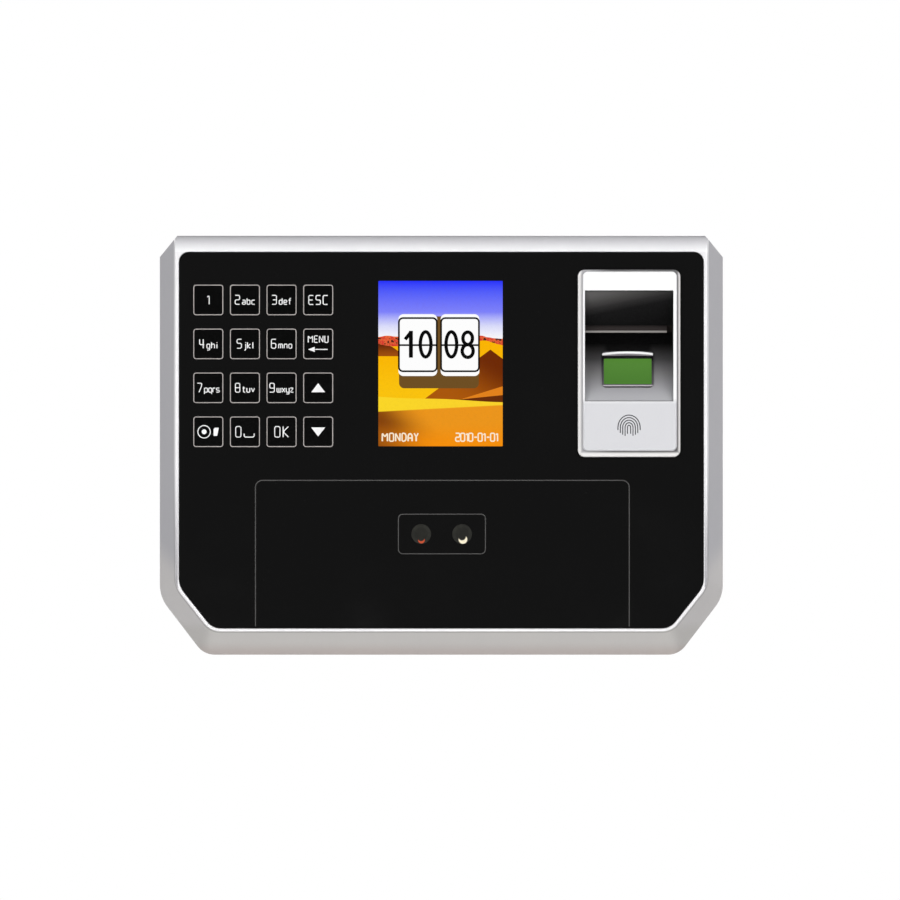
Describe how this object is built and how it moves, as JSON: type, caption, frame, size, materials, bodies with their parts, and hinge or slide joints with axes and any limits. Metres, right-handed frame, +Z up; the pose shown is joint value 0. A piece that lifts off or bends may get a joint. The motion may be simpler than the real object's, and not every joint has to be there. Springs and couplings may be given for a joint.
{
  "type": "fingerprint scanner terminal",
  "caption": "Wall-mounted face and fingerprint terminal with a black glass front, touch keypad, colour screen, finger recess and hook-on wall plate.",
  "frame": {"origin": "on the wall, at the centre of the wall plate's four fixing holes, which is also the middle of the housing seen from the front", "axes": "+X right and +Z up seen from the front, -Y out of the wall, so the front faces -Y"},
  "size_m": [0.195, 0.04, 0.145],
  "materials": {
    "zinc_steel": "zinc-plated, satin",
    "case_grey": "fine spark texture",
    "screw_steel": "zinc-plated",
    "bezel_silver": "satin silver paint",
    "foam_black": "closed-cell foam",
    "panel_black": "back-printed acrylic, polished",
    "clear_window": "clear, polished",
    "smoked_window": "smoked, polished",
    "diffuser_white": "frosted",
    "board_green": "solder mask over glass fibre",
    "led_white": "clear package",
    "display_glass": "lit picture",
    "tin_steel": "tinned sheet",
    "led_dark": "dark infrared package",
    "plastic_black": "moulded",
    "lens_glass": "coated",
    "ribbon_amber": "polyimide",
    "scanner_silver": "satin silver-white paint",
    "cradle_silver": "satin paint",
    "prism_green": "lit from behind",
    "led_green": "clear package",
    "chip_black": "moulded epoxy",
    "capacitor_aluminium": "bright",
    "relay_blue": "moulded",
    "socket_cream": "moulded nylon",
    "terminal_green": "moulded",
    "button_red": "moulded",
    "plunger_white": "acetal",
    "spring_steel": "bright wire",
    "cone_black": "treated paper",
    "cover_rubber": "matt"
  },
  "bodies": {
    "wall_plate": {"wall_plate": "zinc_steel"},
    "terminal": {"rear_case": "case_grey", "case_screws": "screw_steel", "lock_screw": "screw_steel", "front_bezel": "bezel_silver", "panel_gasket": "foam_black", "front_panel": "panel_black", "display_window": "clear_window", "camera_windows": "smoked_window", "keypad_light_guide": "diffuser_white", "keypad_board": "board_green", "keypad_leds": "led_white", "lcd_glass": "display_glass", "lcd_backlight": "diffuser_white", "lcd_shield": "tin_steel", "lcd_gasket": "foam_black", "ir_board": "board_green", "ir_leds": "led_dark", "camera_board": "board_green", "camera_barrels": "plastic_black", "camera_lenses": "lens_glass", "camera_shroud": "plastic_black", "board_ribbons": "ribbon_amber", "mid_frame": "plastic_black", "frame_screws": "screw_steel", "scanner_gasket": "foam_black", "scanner_housing": "scanner_silver", "scanner_cradle": "cradle_silver", "scanner_window_frame": "plastic_black", "scanner_prism": "prism_green", "scanner_lens": "lens_glass", "scanner_leds": "led_green", "scanner_board": "board_green", "scanner_back_cover": "plastic_black", "scanner_bracket": "tin_steel", "scanner_screws": "screw_steel", "scanner_ribbon": "ribbon_amber", "main_board": "board_green", "main_chips": "chip_black", "shield_can": "tin_steel", "capacitors": "capacitor_aluminium", "relay": "relay_blue", "coin_cell": "tin_steel", "coin_cell_holder": "plastic_black", "buzzer": "plastic_black", "ribbon_sockets": "socket_cream", "board_screws": "screw_steel", "ethernet_jack": "tin_steel", "power_jack": "plastic_black", "terminal_blocks": "terminal_green", "terminal_screws": "screw_steel", "push_switches": "plastic_black", "tamper_spring": "spring_steel", "speaker_frame": "plastic_black", "speaker_cone": "cone_black", "usb_port": "tin_steel", "usb_cover_pin": "spring_steel"},
    "tamper_plunger": {"tamper_plunger": "plunger_white"},
    "reset_button": {"reset_button": "button_red"},
    "usb_cover": {"usb_cover": "cover_rubber"}
  },
  "joints": [
    {"name": "terminal_lift", "type": "slide", "parent": "wall_plate", "child": "terminal", "axis": [0, 0, 1], "range_m": [0, 0.008]},
    {"name": "tamper_press", "type": "slide", "parent": "terminal", "child": "tamper_plunger", "axis": [0, 1, 0], "range_m": [-0.0008, 0.0008], "stiffness_N_per_m": 400, "deforming": ["tamper_spring"]},
    {"name": "reset_press", "type": "slide", "parent": "terminal", "child": "reset_button", "axis": [0, -1, 0], "range_m": [0, 0.0004], "stiffness_N_per_m": 600, "springref_m": -0.0004},
    {"name": "usb_cover_hinge", "type": "hinge", "parent": "terminal", "child": "usb_cover", "pos_m": [0.0508, -0.0149, -0.0712], "axis": [1, 0, 0], "range_deg": [0, 100]}
  ]
}
